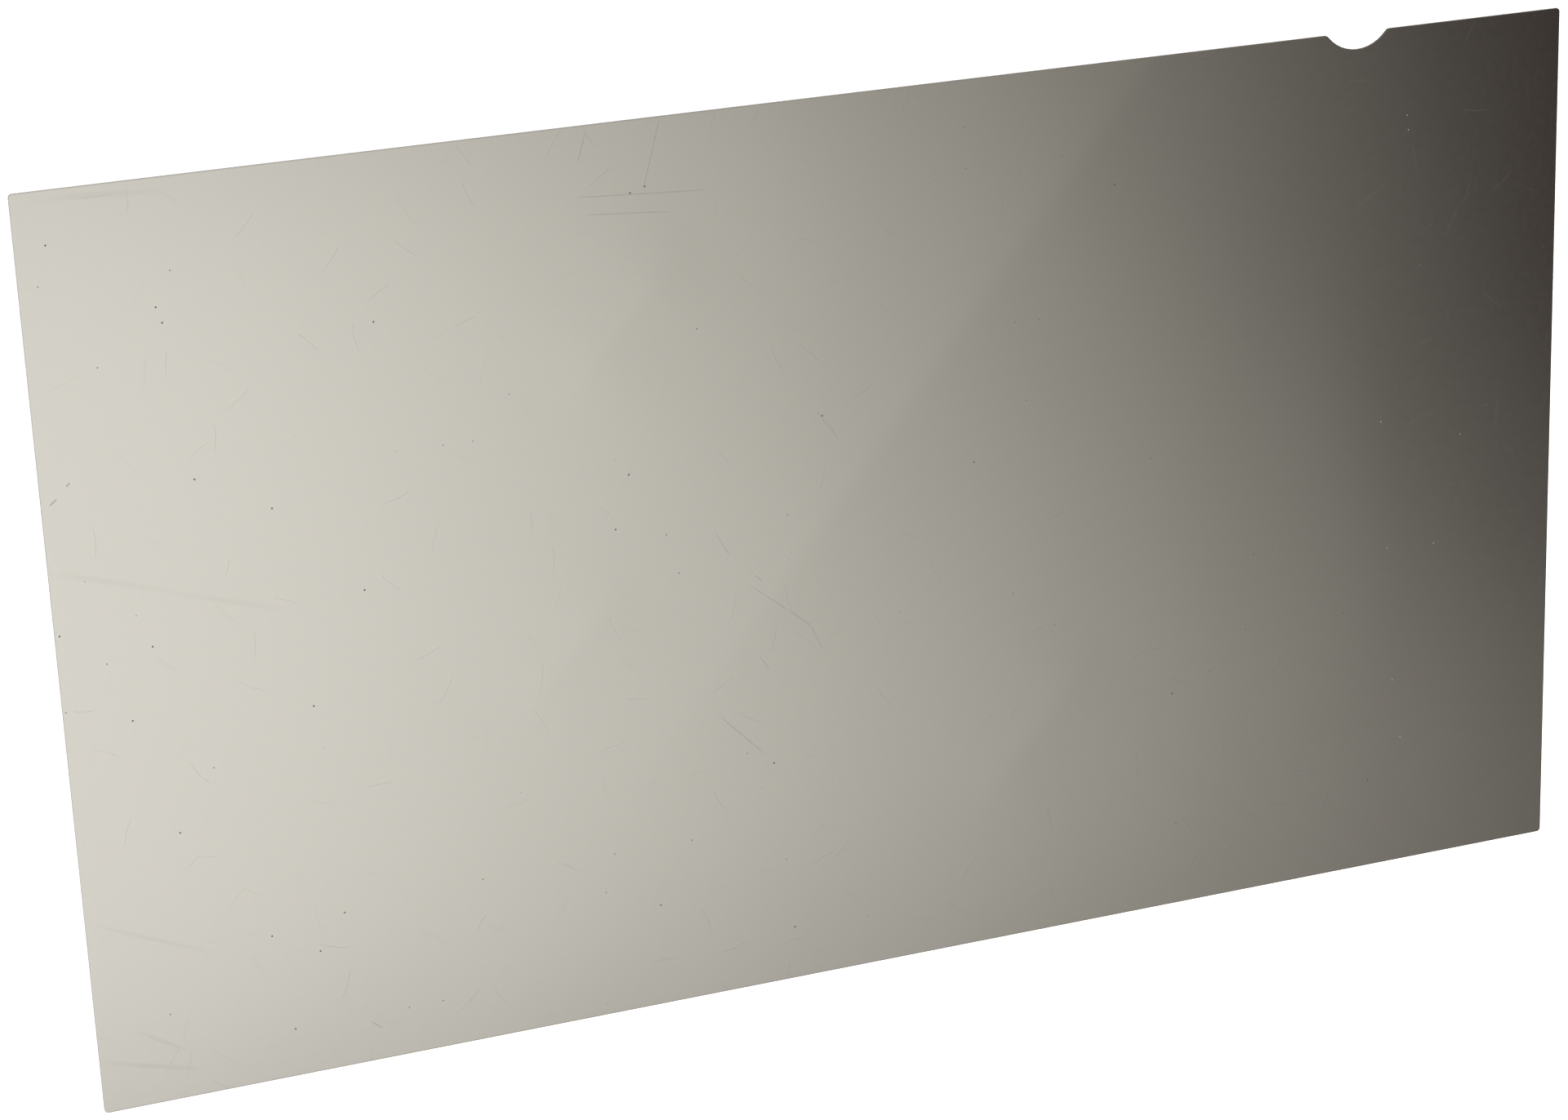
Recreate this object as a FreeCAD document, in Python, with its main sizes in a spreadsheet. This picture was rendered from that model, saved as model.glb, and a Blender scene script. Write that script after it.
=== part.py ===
import FreeCAD, Part
import math
import os
import Sketcher

# Monitor privacy filter: one sheet of louvre film, cut from the roll with a steel-rule die.
# It lies flat with its front face up. Millimetres. X runs along the long side, Y towards the
# notched edge and Z up through the front face. The origin is under the middle of the sheet, on
# the face that it lies on.

NODE = "filter_sheet"
PARTS_FOLDER = "parts"
SAME_PLACE = 1e-4
SAME_SIZE = 1e-3

# Driving dimensions: name, size and what the size sets
DIMENSIONS = (
    ("sheet_width", 531.0, "long side, for a 24 inch screen of 16:9"),
    ("sheet_height", 299.0, "short side, for the same screen"),
    ("film_thickness", 0.5, "whole laminate, face to face"),
    ("corner_radius", 1.3, "round of the four corners"),
    ("notch_radius", 14.1, "arc of the finger notch"),
    ("notch_depth", 5.7, "deepest point of the notch, from the edge"),
    ("notch_from_side", 77.8, "middle of the notch, from the right-hand short side"),
    ("mouth_radius", 1.8, "round where the notch runs out into the edge"),
    ("rim_width", 0.35, "rim that the die draws down round the front face, inwards from the cut"),
    ("rim_drop", 0.01, "how far the die draws that rim down at the cut"),
)

# How a sketch numbers the ends and the middle of its lines and circles, and its own origin
START = 1
END = 2
CENTRE = 3
SKETCH_ORIGIN = (-1, 1)


def make_dimensions(doc):
    """Keep the driving dimensions in the document's own sheet, one row each."""
    sheet = doc.addObject("Spreadsheet::Sheet", "Dimensions")
    for row, (alias, size, meaning) in enumerate(DIMENSIONS, start=1):
        sheet.set(f"A{row}", meaning)
        sheet.set(f"B{row}", str(size))
        sheet.setAlias(f"B{row}", alias)
    doc.recompute()
    return sheet


def new_sketch(body, name):
    """Start a sketch on the body's ground plane, which is the face that the sheet lies on."""
    sketch = body.newObject("Sketcher::SketchObject", name)
    ground = next(plane for plane in body.Origin.OriginFeatures if plane.Role == "XY_Plane")
    sketch.AttachmentSupport = [(ground, "")]
    sketch.MapMode = "FlatFace"
    return sketch


def dimension(sketch, name, constraint, formula):
    """Add a named dimension to a sketch and bind it to the driving dimensions."""
    index = sketch.addConstraint(constraint)
    sketch.renameConstraint(index, name)
    sketch.setExpression(f"Constraints.{name}", formula)


def draw_blank(body, sheet):
    """Draw the sheet's rectangle, centred on the origin."""
    sketch = new_sketch(body, "BlankOutline")
    half_width = sheet.sheet_width / 2
    half_height = sheet.sheet_height / 2
    corners = [
        FreeCAD.Vector(-half_width, -half_height, 0),
        FreeCAD.Vector(half_width, -half_height, 0),
        FreeCAD.Vector(half_width, half_height, 0),
        FreeCAD.Vector(-half_width, half_height, 0),
    ]
    bottom, right, top, left = (
        sketch.addGeometry(Part.LineSegment(start, end))
        for start, end in zip(corners, corners[1:] + corners[:1])
    )
    for side, following in ((bottom, right), (right, top), (top, left), (left, bottom)):
        sketch.addConstraint(Sketcher.Constraint("Coincident", side, END, following, START))
    for side in (bottom, top):
        sketch.addConstraint(Sketcher.Constraint("Horizontal", side))
    for side in (right, left):
        sketch.addConstraint(Sketcher.Constraint("Vertical", side))
    centred = Sketcher.Constraint("Symmetric", bottom, START, top, START, *SKETCH_ORIGIN)
    sketch.addConstraint(centred)
    width = Sketcher.Constraint("DistanceX", bottom, START, bottom, END, sheet.sheet_width)
    dimension(sketch, "width", width, "Dimensions.sheet_width")
    height = Sketcher.Constraint("DistanceY", right, START, right, END, sheet.sheet_height)
    dimension(sketch, "height", height, "Dimensions.sheet_height")
    return sketch


def pad_blank(body, outline):
    """Give the rectangle the thickness of the film, upwards from the ground."""
    pad = body.newObject("PartDesign::Pad", "Blank")
    pad.Profile = outline
    pad.setExpression("Length", "Dimensions.film_thickness")
    return pad


def notch_centre(sheet):
    """Work out where the centre of the notch's arc stands, out beyond the edge."""
    across = sheet.sheet_width / 2 - sheet.notch_from_side
    up = sheet.sheet_height / 2 + sheet.notch_radius - sheet.notch_depth
    return FreeCAD.Vector(across, up, 0)


def draw_notch(body, sheet):
    """Draw the circle whose arc dips into the upper edge as the finger notch."""
    sketch = new_sketch(body, "NotchOutline")
    centre = notch_centre(sheet)
    up = FreeCAD.Vector(0, 0, 1)
    circle = sketch.addGeometry(Part.Circle(centre, up, sheet.notch_radius))
    radius = Sketcher.Constraint("Radius", circle, sheet.notch_radius)
    dimension(sketch, "radius", radius, "Dimensions.notch_radius")
    across = Sketcher.Constraint("DistanceX", *SKETCH_ORIGIN, circle, CENTRE, centre.x)
    dimension(sketch, "across", across, "Dimensions.sheet_width / 2 - Dimensions.notch_from_side")
    upward = Sketcher.Constraint("DistanceY", *SKETCH_ORIGIN, circle, CENTRE, centre.y)
    formula = "Dimensions.sheet_height / 2 + Dimensions.notch_radius - Dimensions.notch_depth"
    dimension(sketch, "upward", upward, formula)
    return sketch


def cut_notch(body, outline):
    """Cut the notch through the film, upwards from the ground plane of its sketch."""
    pocket = body.newObject("PartDesign::Pocket", "FingerNotch")
    pocket.Profile = outline
    pocket.Type = "ThroughAll"
    pocket.Reversed = True
    return pocket


def upright_edges(feature, places):
    """Name the edges of a feature that stand upright at the given places of the outline."""
    names = []
    for number, edge in enumerate(feature.Shape.Edges, start=1):
        flat = {(round(v.X, 3), round(v.Y, 3)) for v in edge.Vertexes}
        if len(edge.Vertexes) != 2 or len(flat) != 1:
            continue
        foot = FreeCAD.Vector(edge.Vertexes[0].X, edge.Vertexes[0].Y, 0)
        if any(foot.distanceToPoint(place) < SAME_PLACE for place in places):
            names.append(f"Edge{number}")
    if len(names) != len(places):
        raise RuntimeError(f"{feature.Label}: {len(names)} of {len(places)} upright edges found")
    return names


def round_edges(body, base, name, places, radius_name):
    """Round the upright edges of the base feature that stand at the given places."""
    fillet = body.newObject("PartDesign::Fillet", name)
    fillet.Base = (base, upright_edges(base, places))
    fillet.setExpression("Radius", f"Dimensions.{radius_name}")
    return fillet


def sheet_corners(sheet):
    """List the four corners of the sheet, before they are rounded."""
    half_width = sheet.sheet_width / 2
    half_height = sheet.sheet_height / 2
    return [
        FreeCAD.Vector(x, y, 0)
        for x in (-half_width, half_width)
        for y in (-half_height, half_height)
    ]


def notch_lips(sheet):
    """List the two points where the notch's arc meets the straight edge."""
    centre = notch_centre(sheet)
    edge = sheet.sheet_height / 2
    half_mouth = math.sqrt(sheet.notch_radius**2 - (centre.y - edge) ** 2)
    return [FreeCAD.Vector(centre.x + side * half_mouth, edge, 0) for side in (-1, 1)]


def front_edges(feature):
    """Name the edges that go round the front face of a feature."""
    front = feature.Shape.BoundBox.ZMax
    return [
        f"Edge{number}"
        for number, edge in enumerate(feature.Shape.Edges, start=1)
        if all(abs(vertex.Z - front) < SAME_PLACE for vertex in edge.Vertexes)
    ]


def draw_rim_down(body, base):
    """Draw the rim of the front face down a little all round, as the die leaves it."""
    rim = body.newObject("PartDesign::Chamfer", "DrawnRim")
    rim.Base = (base, front_edges(base))
    rim.ChamferType = "Two distances"
    rim.setExpression("Size", "Dimensions.rim_drop")
    rim.setExpression("Size2", "Dimensions.rim_width")
    return rim


def front_width(feature):
    """Measure the flat front face of a feature along its long side."""
    front = max(feature.Shape.Faces, key=lambda face: face.BoundBox.ZMin)
    return front.BoundBox.XLength


def make_filter(doc, sheet):
    """Build the sheet: blank, finger notch, rounded notch mouth, rounded corners and rim."""
    body = doc.addObject("PartDesign::Body", "FilterSheet")
    body.Label = NODE
    blank = pad_blank(body, draw_blank(body, sheet))
    doc.recompute()
    notched = cut_notch(body, draw_notch(body, sheet))
    doc.recompute()
    if not notched.Shape.Volume < blank.Shape.Volume:
        raise RuntimeError("the finger notch cuts nothing")
    mouth = round_edges(body, notched, "NotchMouth", notch_lips(sheet), "mouth_radius")
    doc.recompute()
    rounded = round_edges(body, mouth, "Corners", sheet_corners(sheet), "corner_radius")
    doc.recompute()
    rim = draw_rim_down(body, rounded)
    doc.recompute()
    if abs(front_width(rim) + 2 * sheet.rim_width - sheet.sheet_width) > SAME_SIZE:
        raise RuntimeError("the rim isn't drawn down from the front face")
    return body


def check(doc, body):
    """Stop if an object of the document failed, or the sheet isn't one sound solid."""
    failed = [o.Name for o in doc.Objects if {"Invalid", "Error"} & set(o.State)]
    if failed:
        raise RuntimeError(f"failed objects: {failed}")
    if body.Shape.isNull() or not body.Shape.isValid() or len(body.Shape.Solids) != 1:
        raise RuntimeError(f"{body.Label} is not one sound solid")


def main():
    """Build the privacy filter and write its solid."""
    doc = FreeCAD.newDocument("PrivacyFilter")
    body = make_filter(doc, make_dimensions(doc))
    check(doc, body)
    os.makedirs(PARTS_FOLDER, exist_ok=True)
    body.Shape.exportStep(f"{PARTS_FOLDER}/{body.Label}.step")
    size = body.Shape.BoundBox
    print(f"{body.Label}: {size.XLength:.2f} x {size.YLength:.2f} x {size.ZLength:.2f} mm,", end=" ")
    print(f"{body.Shape.Volume / 1000:.2f} cm3")


main()
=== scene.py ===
"""Dress and light the monitor privacy filter: one sheet of louvre film that lies on a white floor."""

import logging
import math
from dataclasses import dataclass
from enum import Enum
from typing import Any

import bpy
from mathutils import Matrix, Vector

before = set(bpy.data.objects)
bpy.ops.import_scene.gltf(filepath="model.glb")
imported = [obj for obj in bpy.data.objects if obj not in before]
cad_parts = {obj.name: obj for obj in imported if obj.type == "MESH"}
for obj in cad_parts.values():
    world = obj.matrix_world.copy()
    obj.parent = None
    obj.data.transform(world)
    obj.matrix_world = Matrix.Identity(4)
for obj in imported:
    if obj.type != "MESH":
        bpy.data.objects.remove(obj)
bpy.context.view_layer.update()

log = logging.getLogger("privacy_filter")

Colour = tuple[float, float, float]
Point = tuple[float, float, float]
Place = tuple[float, float]
Socket = bpy.types.NodeSocket
Inputs = dict[str | int, Any]

# Marks and bends are in millimetres, from the middle of the sheet. Waves and the studio are in metres.
MILLIMETRE = 0.001
FACE_HEIGHT = 0.5 * MILLIMETRE


class NodeBoard:
    """A node tree that is wired up from code, one node at a time."""

    def __init__(self, tree: bpy.types.NodeTree) -> None:
        """Take over a node tree and empty it."""
        self.tree = tree
        tree.nodes.clear()

    def add(self, kind: str, inputs: Inputs | None = None, **settings: Any) -> bpy.types.Node:
        """Add a node, set it up and feed its inputs.

        Args:
            kind: Blender's name for the node type.
            inputs: What each named or numbered input gets, a value or another node's output.
            **settings: The node's own properties.

        Returns:
            The new node.
        """
        node = self.tree.nodes.new(kind)
        for name, value in settings.items():
            setattr(node, name, value)
        for name, source in (inputs or {}).items():
            self.feed(node.inputs[name], source)
        return node

    def feed(self, socket: Socket, source: Any) -> None:
        """Give an input a plain value or another node's output.

        Args:
            socket: The input.
            source: The value or the output.
        """
        if isinstance(source, bpy.types.NodeSocket):
            self.tree.links.new(source, socket)
        else:
            socket.default_value = source

    def coords(self) -> Socket:
        """Give the place on the object, in its own coordinates."""
        return self.add("ShaderNodeTexCoord").outputs["Object"]

    def math(self, operation: str, first: Any, second: Any = 0.0, third: Any = 0.0) -> Socket:
        """Work out one sum of up to three numbers or outputs."""
        inputs = {0: first, 1: second, 2: third}
        return self.add("ShaderNodeMath", inputs, operation=operation).outputs[0]

    def minus(self, first: Any, second: Any) -> Socket:
        """Take the second vector from the first."""
        inputs = {0: first, 1: second}
        return self.add("ShaderNodeVectorMath", inputs, operation="SUBTRACT").outputs["Vector"]

    def dot(self, first: Any, second: Any) -> Socket:
        """Multiply two vectors into one number."""
        inputs = {0: first, 1: second}
        return self.add("ShaderNodeVectorMath", inputs, operation="DOT_PRODUCT").outputs["Value"]

    def distance(self, first: Any, second: Any) -> Socket:
        """Measure how far apart two places are."""
        inputs = {0: first, 1: second}
        return self.add("ShaderNodeVectorMath", inputs, operation="DISTANCE").outputs["Value"]

    def ramp(self, value: Any, start: float, end: float, low: float = 0.0, high: float = 1.0) -> Socket:
        """Turn a value into a soft step.

        Args:
            value: The output that the step follows.
            start: The value at which the step starts.
            end: The value at which it ends.
            low: The result before the start.
            high: The result after the end.

        Returns:
            The output with the step.
        """
        inputs = {"Value": value, "From Min": start, "From Max": end, "To Min": low, "To Max": high}
        node = self.add("ShaderNodeMapRange", inputs, interpolation_type="SMOOTHSTEP")
        return node.outputs["Result"]

    def noise(self, coords: Socket, scale: float, detail: float) -> Socket:
        """Spread noise from 0 to 1 over a level surface, with so many bumps to the metre."""
        inputs = {"Vector": coords, "Scale": scale, "Detail": detail}
        return self.add("ShaderNodeTexNoise", inputs, noise_dimensions="2D").outputs["Fac"]

    def around(self, grain: Socket, middle: float, spread: float) -> Socket:
        """Vary a number with noise, by half the spread to each side of its middle."""
        return self.math("MULTIPLY_ADD", grain, spread, middle - spread / 2)

    def mix(self, factor: Socket, first: Any, second: Any) -> Socket:
        """Mix two colours.

        Args:
            factor: How much of the second colour there is.
            first: The first colour, as three numbers or an output.
            second: The second one.

        Returns:
            The output with the mixed colour.
        """
        node = self.add("ShaderNodeMix", {"Factor": factor}, data_type="RGBA")
        for name, colour in (("A", first), ("B", second)):
            socket = next(s for s in node.inputs if s.name == name and s.type == "RGBA")
            self.feed(socket, (*colour, 1.0) if isinstance(colour, tuple) else colour)
        return next(s for s in node.outputs if s.type == "RGBA")

    def grained(self, grain: Socket, colour: Colour, depth: float) -> Socket:
        """Vary a colour between a deeper and a lighter shade.

        Args:
            grain: The noise that it follows, 0 to 1.
            colour: The colour.
            depth: How far each shade goes from it, as a share of it.

        Returns:
            The output with the varied colour.
        """
        deeper = tuple(part * (1.0 - depth) for part in colour)
        lighter = tuple(part * (1.0 + depth) for part in colour)
        return self.mix(grain, deeper, lighter)

    def bump(self, height: Socket) -> Socket:
        """Turn a height in metres into the shading normal of that relief."""
        inputs = {"Height": height, "Distance": 1.0, "Strength": 1.0}
        return self.add("ShaderNodeBump", inputs).outputs["Normal"]

    def seen(self) -> Socket:
        """Tell the rays that show a surface from those that light by it.

        Returns:
            1 for a ray from the camera, a reflection or a see-through piece, and 0 for other light.
        """
        path = self.add("ShaderNodeLightPath").outputs
        seen = self.math("MAXIMUM", path["Is Camera Ray"], path["Is Glossy Ray"])
        return self.math("MAXIMUM", seen, path["Is Transmission Ray"])


def new_material(name: str) -> tuple[bpy.types.Material, NodeBoard]:
    """Start a material that has no nodes yet.

    Args:
        name: The material's name.

    Returns:
        The material and the board for its nodes.
    """
    material = bpy.data.materials.new(name)
    material.use_nodes = True
    return material, NodeBoard(material.node_tree)


@dataclass(frozen=True)
class Specks:
    """Specks of one width on the front face, solid in the middle and soft at the rim."""

    width: float
    places: tuple[Place, ...]
    solid_share: float = 0.5

    def mark(self, board: NodeBoard, coords: Socket) -> Socket:
        """Mark where the specks lie.

        Args:
            board: The material's nodes.
            coords: The place on the sheet.

        Returns:
            1 on a speck and 0 off it.
        """
        nearest: Any = 1.0
        for x, y in self.places:
            spot = (x * MILLIMETRE, y * MILLIMETRE, FACE_HEIGHT)
            nearest = board.math("MINIMUM", nearest, board.distance(coords, spot))
        radius = self.width / 2 * MILLIMETRE
        return board.ramp(nearest, radius * self.solid_share, radius, 1.0, 0.0)


@dataclass(frozen=True)
class Stroke:
    """One scratch, nick or wipe mark on the front face."""

    start: Place
    end: Place
    width: float = 0.5

    def axes(self) -> tuple[Vector, Vector]:
        """Work out the directions along and across the stroke.

        Returns:
            What to multiply (x, y, 1) by, in metres, so that it runs from -1 to 1 over the stroke.
        """
        first = Vector(self.start) * MILLIMETRE
        run = Vector(self.end) * MILLIMETRE - first
        middle = first + run / 2
        half_width = self.width / 2 * MILLIMETRE
        along = run.normalized() / (run.length / 2 + half_width)
        across = run.orthogonal().normalized() / half_width
        return Vector((*along, -along.dot(middle))), Vector((*across, -across.dot(middle)))


@dataclass(frozen=True)
class Strokes:
    """Strokes that dull the gloss by the same amount. A higher taper makes their ends blunter."""

    dulling: float
    strokes: tuple[Stroke, ...]
    core: float = 0.15
    taper: float = 8.0

    def mark(self, board: NodeBoard, place: Socket) -> Socket:
        """Mark where the strokes lie.

        Args:
            board: The material's nodes.
            place: The place on the sheet, as (x, y, 1).

        Returns:
            How much the strokes dull the gloss, 0 to 1.
        """
        nearest: Any = 1.0
        for stroke in self.strokes:
            along, across = (board.dot(place, axis) for axis in stroke.axes())
            ends = board.math("POWER", along, self.taper)
            away = board.math("MULTIPLY_ADD", across, across, ends)
            nearest = board.math("MINIMUM", nearest, away)
        return board.ramp(nearest, self.core, 1.0, self.dulling, 0.0)


@dataclass(frozen=True)
class FineWear:
    """Hairlines and fine grit all over both faces, at most one of the two in each cell of a pattern."""

    cells_per_metre: float = 75.0
    hair_length: float = 13.0
    hair_width: float = 0.24
    hair_bend: float = 60.0
    hair_share: float = 0.7
    hair_dulling: float = 0.4
    hair_core: float = 1 / 3
    hair_full: float = 0.5
    grit_width: float = 0.55
    grit_share: float = 0.15
    grit_core: float = 0.5

    def mark(self, board: NodeBoard, coords: Socket) -> tuple[Socket, Socket]:
        """Mark where the hairlines and the grit lie.

        Args:
            board: The material's nodes.
            coords: The place on the sheet.

        Returns:
            How much the hairlines dull the gloss and how much the grit covers, each 0 to 1.
        """
        inputs = {"Vector": coords, "Scale": self.cells_per_metre}
        cell = board.add("ShaderNodeTexVoronoi", inputs, voronoi_dimensions="2D").outputs
        draw = board.add("ShaderNodeSeparateColor", {"Color": cell["Color"]}).outputs
        spot = board.minus(coords, cell["Position"])
        radius = self.grit_width / 2 * MILLIMETRE * self.cells_per_metre
        grain = board.ramp(cell["Distance"], radius * self.grit_core, radius, 1.0, 0.0)
        grit = board.math("MULTIPLY", grain, board.ramp(draw["Green"], 0.0, self.grit_share, 1.0, 0.0))
        chance = board.ramp(draw["Green"], 1.0 - self.hair_share, 1.0)
        return board.math("MULTIPLY", self.hairline(board, spot, draw), chance), grit

    def hairline(self, board: NodeBoard, spot: Socket, draw: Any) -> Socket:
        """Draw a slightly bent hairline through the middle of each cell, turned at random.

        Args:
            board: The material's nodes.
            spot: The place from the middle of the cell.
            draw: The cell's random numbers.

        Returns:
            How much the hairline dulls the gloss, 0 to 1.
        """
        inputs = {"Vector": spot, "Angle": board.math("MULTIPLY", draw["Red"], 2 * math.pi)}
        turned = board.add("ShaderNodeVectorRotate", inputs, rotation_type="Z_AXIS").outputs["Vector"]
        parts = board.add("ShaderNodeSeparateXYZ", {"Vector": turned}).outputs
        bow = board.around(draw["Blue"], 0.0, self.hair_bend)
        square = board.math("MULTIPLY", parts["X"], parts["X"])
        away = board.math("ABSOLUTE", board.math("MULTIPLY_ADD", square, bow, parts["Y"]))
        half_width = self.hair_width / 2 * MILLIMETRE
        half_length = self.hair_length / 2 * MILLIMETRE
        line = board.ramp(away, half_width * self.hair_core, half_width, self.hair_dulling, 0.0)
        ends = board.ramp(square, (half_length * self.hair_full) ** 2, half_length**2, 1.0, 0.0)
        return board.math("MULTIPLY", line, ends)


@dataclass(frozen=True)
class Bend:
    """Shallow bend of the film along a line, which flattens out sideways and at both ends."""

    foot: Place
    head: Place
    height: float
    reach: float
    run_out: float
    crest: float = 3.0

    def rise(self, board: NodeBoard, coords: Socket) -> Socket:
        """Work out how far the bend lifts the film.

        Args:
            board: The material's nodes.
            coords: The place on the sheet.

        Returns:
            The lift, in metres.
        """
        foot = Vector((*self.foot, 0.0)) * MILLIMETRE
        run = Vector((*self.head, 0.0)) * MILLIMETRE - foot
        along = run.normalized()
        spot = board.minus(coords, foot)
        out = board.dot(spot, Vector((along.y, -along.x, 0.0)))
        crest = (self.crest * MILLIMETRE) ** 2
        away = board.math("SQRT", board.math("MULTIPLY_ADD", out, out, crest))
        ridge = board.math("EXPONENT", board.math("DIVIDE", away, -self.reach * MILLIMETRE))
        far = board.dot(spot, along)
        run_out = self.run_out * MILLIMETRE
        lift = board.ramp(far, -run_out, run_out, 0.0, self.height * MILLIMETRE)
        drop = board.ramp(far, run.length - run_out, run.length + run_out, 1.0, 0.0)
        return board.math("MULTIPLY", ridge, board.math("MULTIPLY", lift, drop))


# Bends that show in the photo. The head of the first is off the sheet, so it goes on to the edge.
BENDS = (
    Bend(foot=(-54, -42), head=(183, 231), height=0.48, reach=75.0, run_out=75.0),
    Bend(foot=(-92, 67), head=(-57, 104.5), height=0.15, reach=20.0, run_out=15.0),
    Bend(foot=(-114.5, -38), head=(-84.5, -5.5), height=0.15, reach=20.0, run_out=15.0),
    Bend(foot=(45.5, -98), head=(83, -55.5), height=0.11, reach=20.0, run_out=15.0),
    Bend(foot=(200, -75), head=(183, 60), height=0.4, reach=50.0, run_out=40.0, crest=20.0),
)

# Dark grit, where the photo shows it most clearly
GRIT = Specks(
    width=0.75,
    places=(
        (-71, 126.5),
        (-66, 128),
        (-224.5, 110),
        (-223, 105),
        (-256, 133),
        (-194, 42),
        (-166.5, 11),
        (-264, 11.5),
        (-235.5, 3.5),
        (-244, -19.5),
        (-76.5, 35.5),
        (-82, 18),
        (-9, 45.5),
        (44.5, 22),
        (-31, -71),
        (-26, -131),
        (-73.5, -114),
        (-206, -99.5),
        (-181.5, -96),
        (-201, -133),
        (117, -71.5),
        (194, -117),
        (97.5, 109),
        (-186, -24.5),
        (-232.5, -59),
        (-190.5, -107.7),
        (-217.5, 54.8),
        (-157, 96.5),
    ),
)

# Pale dust, most of it at the dark right-hand end
DUST = Specks(
    width=0.5,
    places=(
        (207, 119.5),
        (207.5, 114.5),
        (198, 14),
        (229.5, 5),
        (201, -32),
        (219.5, -33),
        (203.5, -81),
        (207, -103),
        (71.5, -46.5),
    ),
)

# Broad, faint wipe marks at the left
WIPES = Strokes(
    dulling=0.12,
    strokes=(
        Stroke((-268, 33), (-222, 18.5), 2.6),
        Stroke((-232, 21), (-190, 8), 2.4),
        Stroke((-268, -82.5), (-222, -103), 1.8),
        Stroke((-254, -122.5), (-236, -134), 1.8),
        Stroke((-268, -131), (-228, -142), 2.0),
        Stroke((-256, 147), (-219, 145.2), 2.4),
    ),
    taper=2.0,
)

# Scratches near the top, in the middle and at the lower left
SCRATCHES = Strokes(
    dulling=0.36,
    strokes=(
        Stroke((-84.6, 147.2), (-87.7, 138)),
        Stroke((-59.9, 149), (-66.7, 126.6)),
        Stroke((-90.3, 127.3), (-43.7, 124.3)),
        Stroke((-86.5, 121.4), (-56.8, 118.9)),
        Stroke((-47.8, 11.7), (-43.4, 3.2)),
        Stroke((-37, -7.8), (-23.4, -18.9)),
        Stroke((-23.4, -18.9), (-16, -25.1), 0.6),
        Stroke((-16, -25.1), (-12, -34.1)),
        Stroke((-34.7, -5), (-32.1, -7.5), 0.6),
        Stroke((-34.3, -33.1), (-31.3, -37.8)),
        Stroke((-49.5, -51.2), (-34, -67.4)),
        Stroke((-11, 47.5), (-3.5, 37)),
        Stroke((-175.6, -135.6), (-171.9, -138.6), 0.6),
    ),
)

# Two short nicks at the left edge
NICKS = Strokes(
    dulling=0.55,
    strokes=(
        Stroke((-262.6, 53.3), (-260.7, 54.7), 0.7),
        Stroke((-257, 58.5), (-256.2, 59.2), 0.7),
    ),
)


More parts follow.
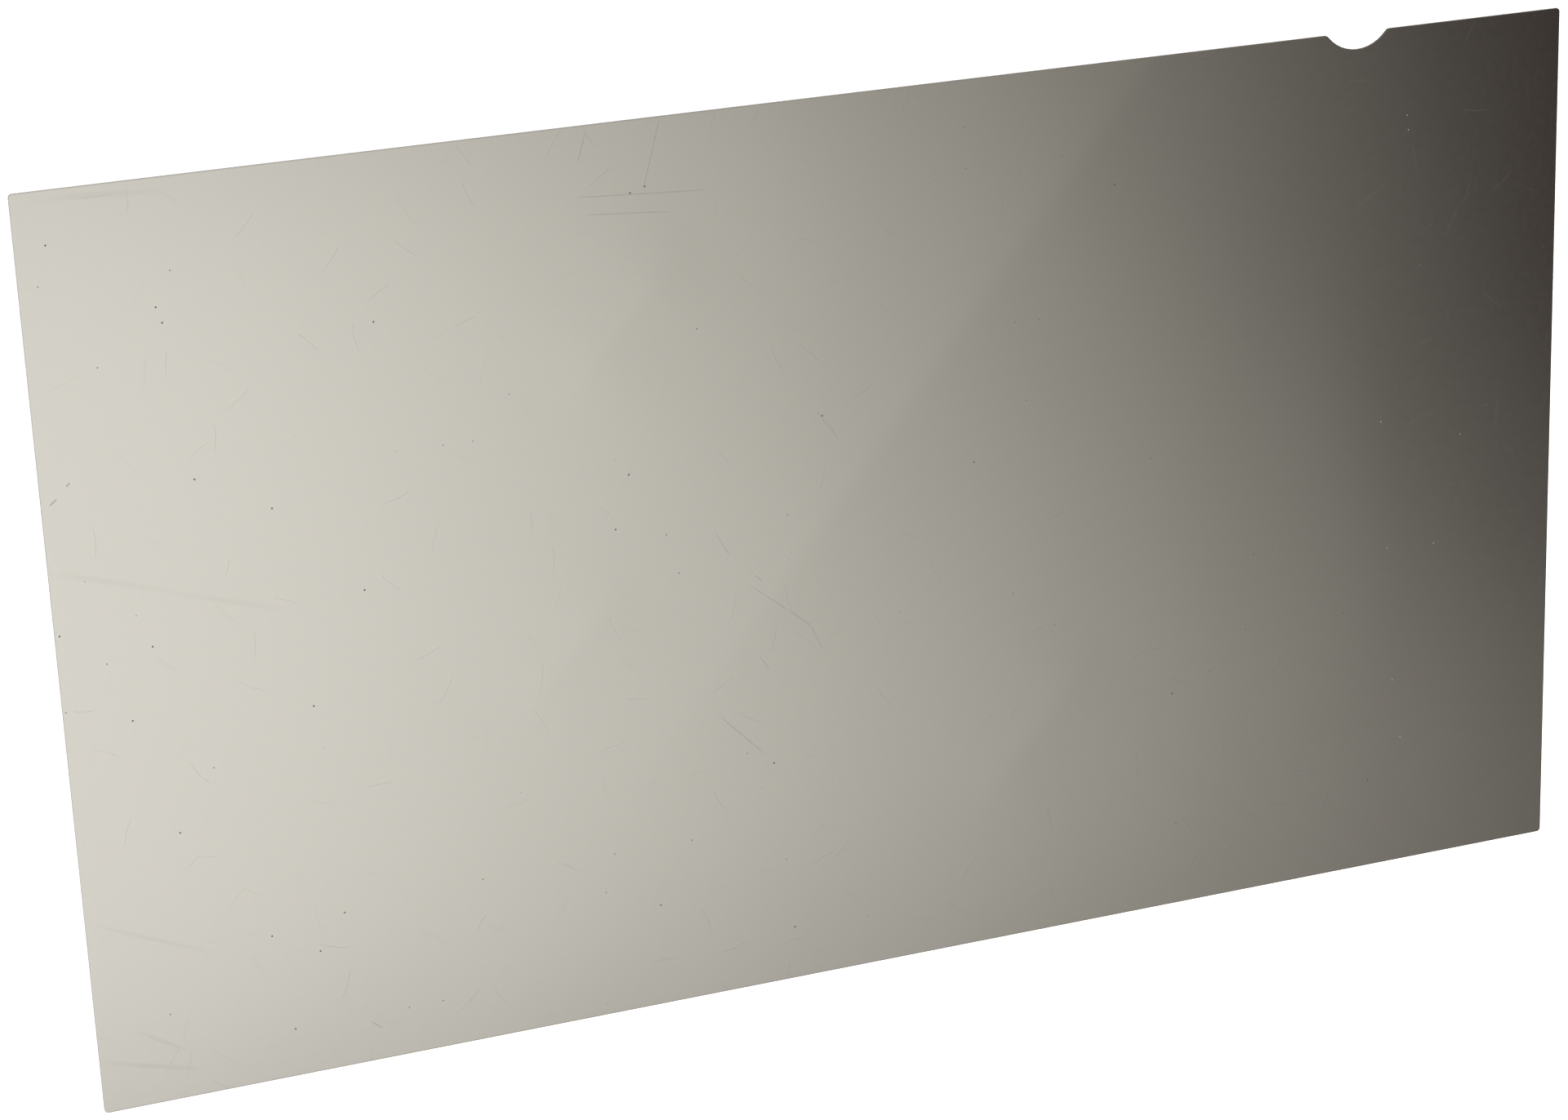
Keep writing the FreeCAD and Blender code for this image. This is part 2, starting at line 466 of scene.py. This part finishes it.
@dataclass(frozen=True)
class FilmFinish:
    """Brown-black louvre film with a fine satin face, lightly dusty and scratched in use."""

    name: str = "louvre film"
    body_colour: Colour = (0.015, 0.0087, 0.008)
    grit_colour: Colour = (0.03, 0.026, 0.022)
    dust_colour: Colour = (0.36, 0.35, 0.33)
    glaze_tint: Colour = (1.0, 0.973, 0.88)
    ior: float = 1.8
    roughness: float = 0.16
    scratch_roughness: float = 0.5
    speck_roughness: float = 0.9
    grain_scale: float = 400.0
    grain_detail: float = 2.0
    grain_depth: float = 0.25
    grain_roughness: float = 0.03
    wave_scale: float = 9.0
    wave_detail: float = 1.0
    wave_height: float = 1.5e-4
    bends: tuple[Bend, ...] = BENDS
    grit: Specks = GRIT
    dust: Specks = DUST
    scratches: tuple[Strokes, ...] = (WIPES, SCRATCHES, NICKS)
    fine_wear: FineWear = FineWear()

    def make(self) -> bpy.types.Material:
        """Make the film's material.

        Returns:
            The material.
        """
        material, board = new_material(self.name)
        coords = board.coords()
        grain = board.noise(coords, self.grain_scale, self.grain_detail)
        hairlines, fine_grit = self.fine_wear.mark(board, coords)
        grit = board.math("MAXIMUM", self.grit.mark(board, coords), fine_grit)
        dust = self.dust.mark(board, coords)
        worn = board.math("MAXIMUM", self.scratched(board, coords), hairlines)
        surface = board.add(
            "ShaderNodeBsdfPrincipled",
            {
                "Base Color": self.colour(board, grain, grit, dust),
                "Roughness": self.satin(board, grain, worn, board.math("MAXIMUM", grit, dust)),
                "Normal": self.relief(board, coords),
                "IOR": self.ior,
                "Specular Tint": (*self.glaze_tint, 1.0),
            },
        )
        board.add("ShaderNodeOutputMaterial", {"Surface": surface.outputs["BSDF"]})
        return material

    def scratched(self, board: NodeBoard, coords: Socket) -> Socket:
        """Mark where scratches, nicks and wipe marks lie on the front face.

        Args:
            board: The material's nodes.
            coords: The place on the sheet.

        Returns:
            How much they dull the gloss, 0 to 1.
        """
        parts = board.add("ShaderNodeSeparateXYZ", {"Vector": coords}).outputs
        inputs = {"X": parts["X"], "Y": parts["Y"], "Z": 1.0}
        place = board.add("ShaderNodeCombineXYZ", inputs).outputs["Vector"]
        total: Any = 0.0
        for group in self.scratches:
            total = board.math("MAXIMUM", total, group.mark(board, place))
        front = board.math("GREATER_THAN", parts["Z"], FACE_HEIGHT / 2)
        return board.math("MULTIPLY", total, front)

    def colour(self, board: NodeBoard, grain: Socket, grit: Socket, dust: Socket) -> Socket:
        """Mix the film's own colour, slightly grained, with the specks on it.

        Args:
            board: The material's nodes.
            grain: The fine grain of the film.
            grit: Where dark specks lie.
            dust: Where pale specks lie.

        Returns:
            The colour.
        """
        body = board.grained(grain, self.body_colour, self.grain_depth)
        gritty = board.mix(grit, body, self.grit_colour)
        return board.mix(dust, gritty, self.dust_colour)

    def satin(self, board: NodeBoard, grain: Socket, worn: Socket, specks: Socket) -> Socket:
        """Vary the roughness a little and raise it where the face is scratched or a speck lies on it.

        Args:
            board: The material's nodes.
            grain: The fine grain of the film.
            worn: How much scratches dull the gloss.
            specks: Where specks lie.

        Returns:
            The roughness.
        """
        even = board.around(grain, self.roughness, self.grain_roughness)
        rise = self.scratch_roughness - self.roughness
        face = board.math("MULTIPLY_ADD", worn, rise, even)
        return board.math("MAXIMUM", face, board.math("MULTIPLY", specks, self.speck_roughness))

    def relief(self, board: NodeBoard, coords: Socket) -> Socket:
        """Give the face its slow waves and its bends.

        Args:
            board: The material's nodes.
            coords: The place on the sheet.

        Returns:
            The shading normal.
        """
        waves = board.noise(coords, self.wave_scale, self.wave_detail)
        height = board.math("MULTIPLY", waves, self.wave_height)
        for bend in self.bends:
            height = board.math("ADD", height, bend.rise(board, coords))
        return board.bump(height)


@dataclass(frozen=True)
class EdgeFinish:
    """Film where the die drew or cut it: browner than the face, with the die's fine drag marks."""

    name: str
    colour: Colour
    roughness: float
    ior: float
    glaze_tint: Colour = (1.0, 0.973, 0.88)
    drag_scale: float = 1800.0
    drag_detail: float = 2.0
    drag_depth: float = 0.35

    def make(self) -> bpy.types.Material:
        """Make the edge's material.

        Returns:
            The material.
        """
        material, board = new_material(self.name)
        drag = board.noise(board.coords(), self.drag_scale, self.drag_detail)
        surface = board.add(
            "ShaderNodeBsdfPrincipled",
            {
                "Base Color": board.grained(drag, self.colour, self.drag_depth),
                "Roughness": board.around(drag, self.roughness, self.roughness * self.drag_depth),
                "IOR": self.ior,
                "Specular Tint": (*self.glaze_tint, 1.0),
            },
        )
        board.add("ShaderNodeOutputMaterial", {"Surface": surface.outputs["BSDF"]})
        return material


DRAWN_RIM = EdgeFinish("drawn rim", colour=(0.028, 0.010, 0.004), roughness=0.18, ior=1.8)
CUT_EDGE = EdgeFinish("cut edge", colour=(0.03, 0.016, 0.01), roughness=0.35, ior=1.5)


@dataclass(frozen=True)
class FloorFinish:
    """White studio floor that reads as plain white, far out too, and still takes a shadow."""

    name: str = "studio floor"
    colour: Colour = (0.85, 0.85, 0.85)
    near_lift: float = 0.55
    far_lift: float = 0.85
    near: float = 0.8
    far: float = 2.4

    def make(self) -> bpy.types.Material:
        """Make the floor's material.

        Returns:
            The material.
        """
        material, board = new_material(self.name)
        out = board.distance(board.coords(), (0.0, 0.0, 0.0))
        lift = board.ramp(out, self.near, self.far, self.near_lift, self.far_lift)
        strength = board.math("MULTIPLY", board.seen(), lift)
        glow = board.add("ShaderNodeEmission", {"Strength": strength})
        paint = board.add("ShaderNodeBsdfDiffuse", {"Color": (*self.colour, 1.0)})
        both = board.add("ShaderNodeAddShader", {0: paint.outputs[0], 1: glow.outputs[0]})
        board.add("ShaderNodeOutputMaterial", {"Surface": both.outputs[0]})
        return material


class SheetPart(Enum):
    """Parts of the sheet's surface, each with the material slot that it takes."""

    FACE = 0
    RIM = 1
    CUT = 2


@dataclass
class FilterSheet:
    """The privacy filter itself: the CAD sheet and its finishes."""

    node: str = "filter_sheet"
    film: FilmFinish = FilmFinish()
    rim: EdgeFinish = DRAWN_RIM
    cut: EdgeFinish = CUT_EDGE
    level: float = 0.9999
    upright: float = 0.5

    def dress(self) -> bpy.types.Object:
        """Give the sheet its finishes: the film, the drawn rim and the cut edge.

        Returns:
            The dressed sheet.
        """
        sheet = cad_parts[self.node]
        sheet.data.materials.clear()
        finishes = {SheetPart.FACE: self.film, SheetPart.RIM: self.rim, SheetPart.CUT: self.cut}
        for part in SheetPart:
            sheet.data.materials.append(finishes[part].make())
        for polygon in sheet.data.polygons:
            polygon.material_index = self.part_of(polygon).value
        return sheet

    def part_of(self, polygon: bpy.types.MeshPolygon) -> SheetPart:
        """Tell by its slope which part of the surface a face belongs to.

        Args:
            polygon: The face.

        Returns:
            The part.
        """
        slope = abs(polygon.normal.z)
        if slope < self.upright:
            return SheetPart.CUT
        if slope < self.level:
            return SheetPart.RIM
        return SheetPart.FACE


@dataclass(frozen=True)
class Softbox:
    """Large overhead softbox whose light fades along X, and turns warmer as it fades.

    The fade is set out on the line where Y is the hinge. Away from that line it slants and changes
    its width. The light also dims towards the near and far sides, which are low and high in Y.
    """

    low_corner: Place = (-0.35, -1.20)
    high_corner: Place = (1.85, 0.30)
    height: float = 1.5
    radiance: float = 8.3
    hinge: float = -0.5
    fade_middle: float = 0.682
    fade_width: float = 1.524
    slant: float = 0.256
    narrowing: float = 0.617
    flare: float = 1.441
    near_dark: float = -1.392
    near_full: float = -0.707
    near_slant: float = -0.074
    far_full: float = -0.3
    far_dark: float = 0.7
    full_colour: Colour = (1.0, 1.0, 1.0)
    faded_colour: Colour = (1.0, 1.0, 0.93)

    def build(self) -> bpy.types.Object:
        """Hang the softbox over the floor, facing down.

        Returns:
            The lamp.
        """
        low_x, low_y = self.low_corner
        width = self.high_corner[0] - low_x
        depth = self.high_corner[1] - low_y
        lamp = bpy.data.lights.new("softbox", "AREA")
        lamp.shape = "RECTANGLE"
        lamp.size = width
        lamp.size_y = depth
        lamp.energy = math.pi * width * depth * self.radiance
        lamp.use_nodes = True
        self.feather(NodeBoard(lamp.node_tree), width, depth)
        holder = bpy.data.objects.new("softbox", lamp)
        bpy.context.scene.collection.objects.link(holder)
        holder.location = (low_x + width / 2, low_y + depth / 2, self.height)
        holder.visible_camera = False
        return holder

    def feather(self, board: NodeBoard, width: float, depth: float) -> None:
        """Fade the softbox's light across its face.

        Args:
            board: The lamp's nodes.
            width: The softbox along X.
            depth: The softbox along Y.
        """
        place = board.add("ShaderNodeNewGeometry").outputs["Parametric"]
        parts = board.add("ShaderNodeSeparateXYZ", {"Vector": place}).outputs
        x = board.math("MULTIPLY_ADD", parts["X"], width, self.low_corner[0])
        y = board.math("MULTIPLY_ADD", parts["Y"], depth, self.low_corner[1])
        beyond = board.math("SUBTRACT", y, self.hinge)
        past_middle = board.math("SUBTRACT", x, self.fade_middle)
        along = board.math("MULTIPLY_ADD", beyond, self.slant, past_middle)
        change = board.math("MULTIPLY_ADD", beyond, self.flare, -self.narrowing)
        spread = board.math("MULTIPLY_ADD", beyond, change, 1.0)
        reach = self.fade_width / 2
        across = board.ramp(board.math("DIVIDE", along, spread), -reach, reach, 1.0, 0.0)
        near_edge = board.math("MULTIPLY_ADD", x, self.near_slant, y)
        near = board.ramp(near_edge, self.near_dark, self.near_full)
        far = board.ramp(y, self.far_full, self.far_dark, 1.0, 0.0)
        strength = board.math("MULTIPLY", board.math("MULTIPLY", across, near), far)
        colour = board.mix(across, self.faded_colour, self.full_colour)
        glow = board.add("ShaderNodeEmission", {"Color": colour, "Strength": strength})
        board.add("ShaderNodeOutputLight", {"Surface": glow.outputs[0]})


@dataclass
class Studio:
    """White floor, softbox and the pale room round them."""

    floor_width: float = 16.0
    floor_finish: FloorFinish = FloorFinish()
    softbox: Softbox = Softbox()
    room_colour: Colour = (1.0, 1.0, 1.0)
    room_low: float = 0.25
    room_high: float = 0.65
    room_ceiling: float = 0.1
    room_light: float = 0.5

    def build(self) -> list[bpy.types.Object]:
        """Lay the floor, hang the softbox and set the room's light.

        Returns:
            The floor and the softbox.
        """
        pieces = [self.lay_floor(), self.softbox.build()]
        self.set_room()
        return pieces

    def lay_floor(self) -> bpy.types.Object:
        """Lay the floor that the sheet lies on.

        Returns:
            The floor.
        """
        bpy.ops.object.select_all(action="DESELECT")
        bpy.ops.mesh.primitive_plane_add(size=self.floor_width)
        floor = bpy.context.object
        floor.name = "studio_floor"
        floor.data.materials.append(self.floor_finish.make())
        return floor

    def set_room(self) -> None:
        """Make the room white round the horizon, dim overhead and dimmer in the light that it gives."""
        world = bpy.data.worlds.new("studio room")
        world.use_nodes = True
        board = NodeBoard(world.node_tree)
        direction = board.add("ShaderNodeTexCoord").outputs["Generated"]
        height = board.add("ShaderNodeSeparateXYZ", {"Vector": direction}).outputs["Z"]
        room = board.ramp(height, self.room_low, self.room_high, 1.0, self.room_ceiling)
        share = board.ramp(board.seen(), 0.0, 1.0, self.room_light, 1.0)
        strength = board.math("MULTIPLY", room, share)
        inputs = {"Strength": strength, "Color": (*self.room_colour, 1.0)}
        glow = board.add("ShaderNodeBackground", inputs)
        board.add("ShaderNodeOutputWorld", {"Surface": glow.outputs[0]})
        bpy.context.scene.world = world


@dataclass
class PhotoCamera:
    """Camera at the photo's place, looking down on the sheet."""

    eye: Point = (-0.4753, 0.3859, 1.1515)
    look: Point = (0.31998, -0.32689, -0.88924)
    upward: Point = (0.15856, 0.94383, -0.2899)
    lens: float = 90.78
    sensor: float = 36.0
    shift_x: float = 0.0634
    shift_y: float = 0.0775

    def build(self) -> bpy.types.Object:
        """Set the camera up and make it the scene's own.

        Returns:
            The camera.
        """
        data = bpy.data.cameras.new("photo_camera")
        data.lens = self.lens
        data.sensor_width = self.sensor
        data.shift_x = self.shift_x
        data.shift_y = self.shift_y
        camera = bpy.data.objects.new("photo_camera", data)
        bpy.context.scene.collection.objects.link(camera)
        camera.matrix_world = Matrix.Translation(Vector(self.eye)) @ self.turn()
        bpy.context.scene.camera = camera
        return camera

    def turn(self) -> Matrix:
        """Work out how the camera is turned.

        Returns:
            The turn, as a matrix.
        """
        back = -Vector(self.look).normalized()
        right = Vector(self.upward).cross(back).normalized()
        up = back.cross(right)
        return Matrix((right, up, back)).transposed().to_4x4()


def main() -> None:
    """Set up the camera and the studio, then dress the sheet."""
    logging.basicConfig(level=logging.INFO, format="%(message)s")
    bpy.context.scene.view_settings.view_transform = "Standard"
    log.info("camera: %s", PhotoCamera().build().name)
    for piece in Studio().build():
        log.info("studio: %s", piece.name)
    log.info("dressed: %s", FilterSheet().dress().name)


if __name__ == "__main__":
    main()
